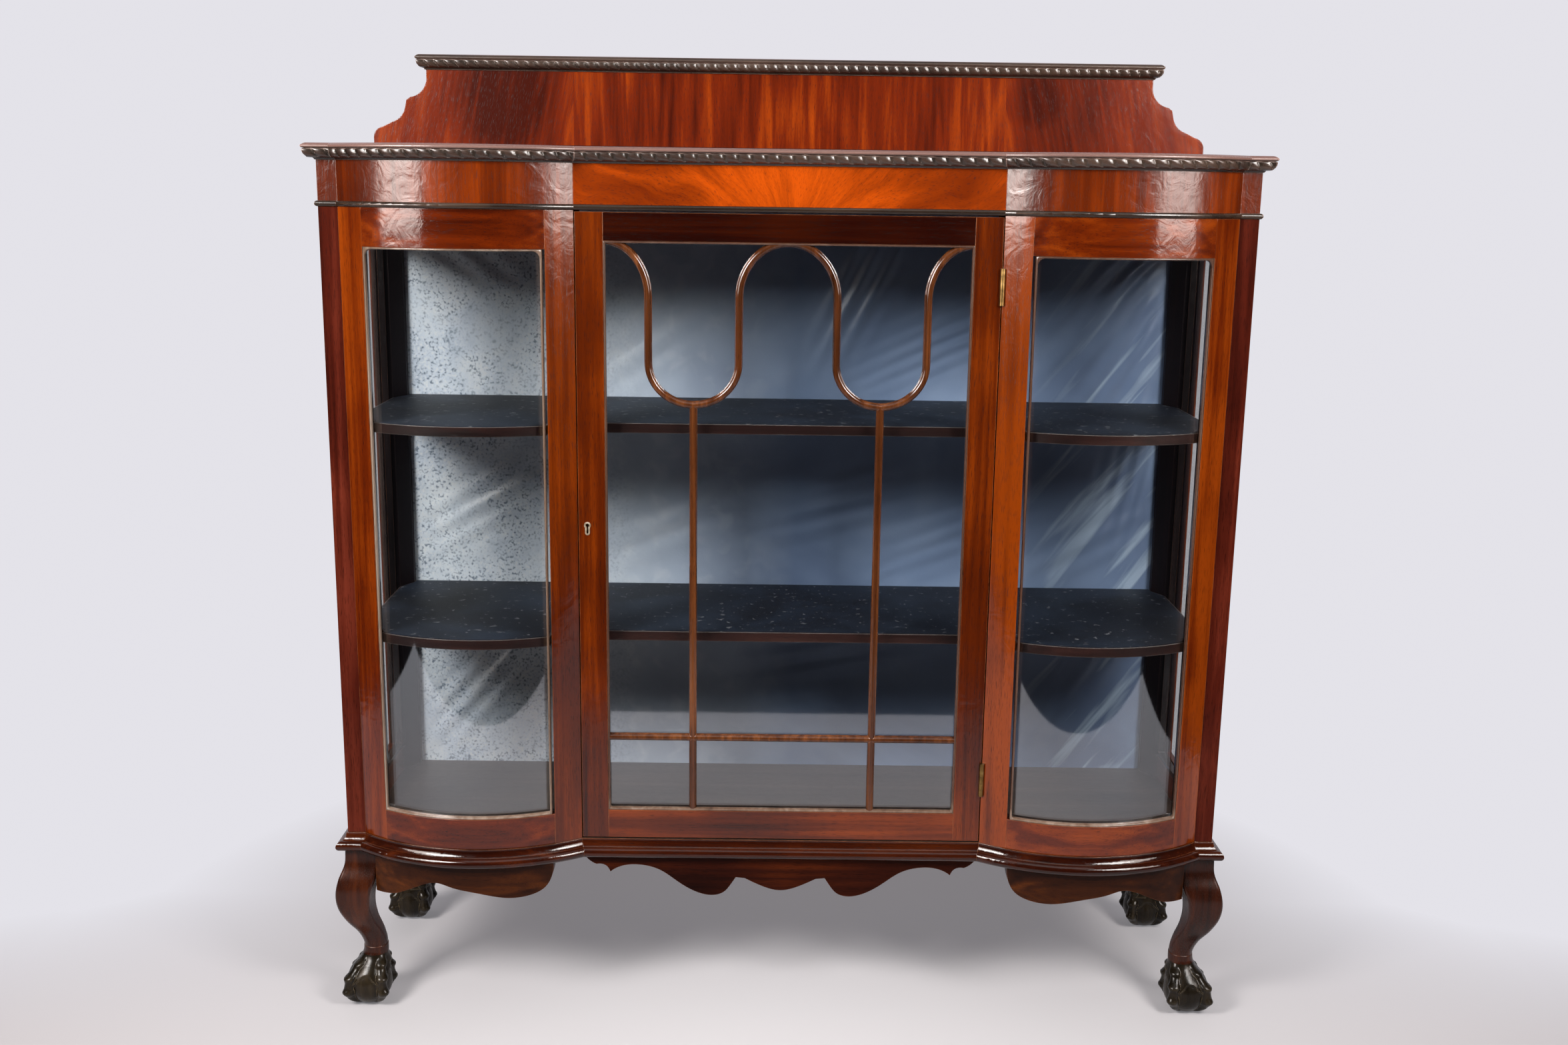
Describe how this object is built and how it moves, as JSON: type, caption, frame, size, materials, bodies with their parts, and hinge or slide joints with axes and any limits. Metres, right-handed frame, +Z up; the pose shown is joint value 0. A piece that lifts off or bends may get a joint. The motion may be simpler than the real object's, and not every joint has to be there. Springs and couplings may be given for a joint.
{
  "type": "display cabinet",
  "caption": "Glazed display cabinet with a flat middle door between bow-fronted bays, a shaped gallery on top and cabriole legs on ball-and-claw feet.",
  "frame": {"origin": "on the floor, under the middle of the whole cabinet", "axes": "+Z up, -Y towards the front with the door, +X to the right as seen from the front"},
  "size_m": [1.3416, 0.4176, 1.431],
  "materials": {
    "mahogany": "French-polished mahogany, glossy",
    "shelf_cloth": "board covered with near-black cloth, polished wooden front edge",
    "glass": "clear pane",
    "lining": "pale blue-grey cloth, stretched",
    "brass": "aged",
    "bolt_steel": "plain"
  },
  "bodies": {
    "cabinet": {"leg_front_left": "mahogany", "leg_front_right": "mahogany", "leg_back_left": "mahogany", "leg_back_right": "mahogany", "apron_centre": "mahogany", "apron_bay_left": "mahogany", "apron_bay_right": "mahogany", "apron_sides": "mahogany", "apron_back": "mahogany", "base_board": "mahogany", "base_moulding_centre": "mahogany", "base_moulding_left": "mahogany", "base_moulding_right": "mahogany", "corner_post_left": "mahogany", "corner_post_right": "mahogany", "door_post_left": "mahogany", "door_post_right": "mahogany", "back_post_left": "mahogany", "back_post_right": "mahogany", "bay_frame_left": "mahogany", "bay_frame_right": "mahogany", "side_rails": "mahogany", "glazing_beads_left": "mahogany", "glazing_beads_right": "mahogany", "back_panel": "mahogany", "shelf_bearers": "mahogany", "door_stops": "mahogany", "frieze_centre": "mahogany", "frieze_bay_left": "mahogany", "frieze_bay_right": "mahogany", "frieze_sides": "mahogany", "frieze_bead": "mahogany", "top_board": "mahogany", "top_edge_centre": "mahogany", "top_edge_left": "mahogany", "top_edge_right": "mahogany", "gallery_board": "mahogany", "gallery_fillet": "mahogany", "gallery_cornice": "mahogany", "shelf_upper": "shelf_cloth", "shelf_lower": "shelf_cloth", "bay_glass_left": "glass", "bay_glass_right": "glass", "side_glass": "glass", "back_lining": "lining", "hinge_leaves_post": "brass", "hinge_pins": "brass", "hinge_screws_post": "brass"},
    "door": {"door_stile_hinge": "mahogany", "door_stile_lock": "mahogany", "door_top_rail": "mahogany", "door_bottom_rail": "mahogany", "door_glazing_beads": "mahogany", "door_glazing_bars": "mahogany", "door_glass": "glass", "hinge_leaves_door": "brass", "hinge_screws_door": "brass", "escutcheon": "brass", "lock_case": "brass"},
    "lock_bolt": {"lock_bolt": "bolt_steel"}
  },
  "joints": [
    {"name": "door_hinge", "type": "hinge", "parent": "cabinet", "child": "door", "pos_m": [0.29625, -0.14849, 0.744], "axis": [0, 0, 1], "range_deg": [0, 110]},
    {"name": "lock_bolt_slide", "type": "slide", "parent": "door", "child": "lock_bolt", "axis": [-1, 0, 0], "range_m": [0, 0.008]}
  ]
}
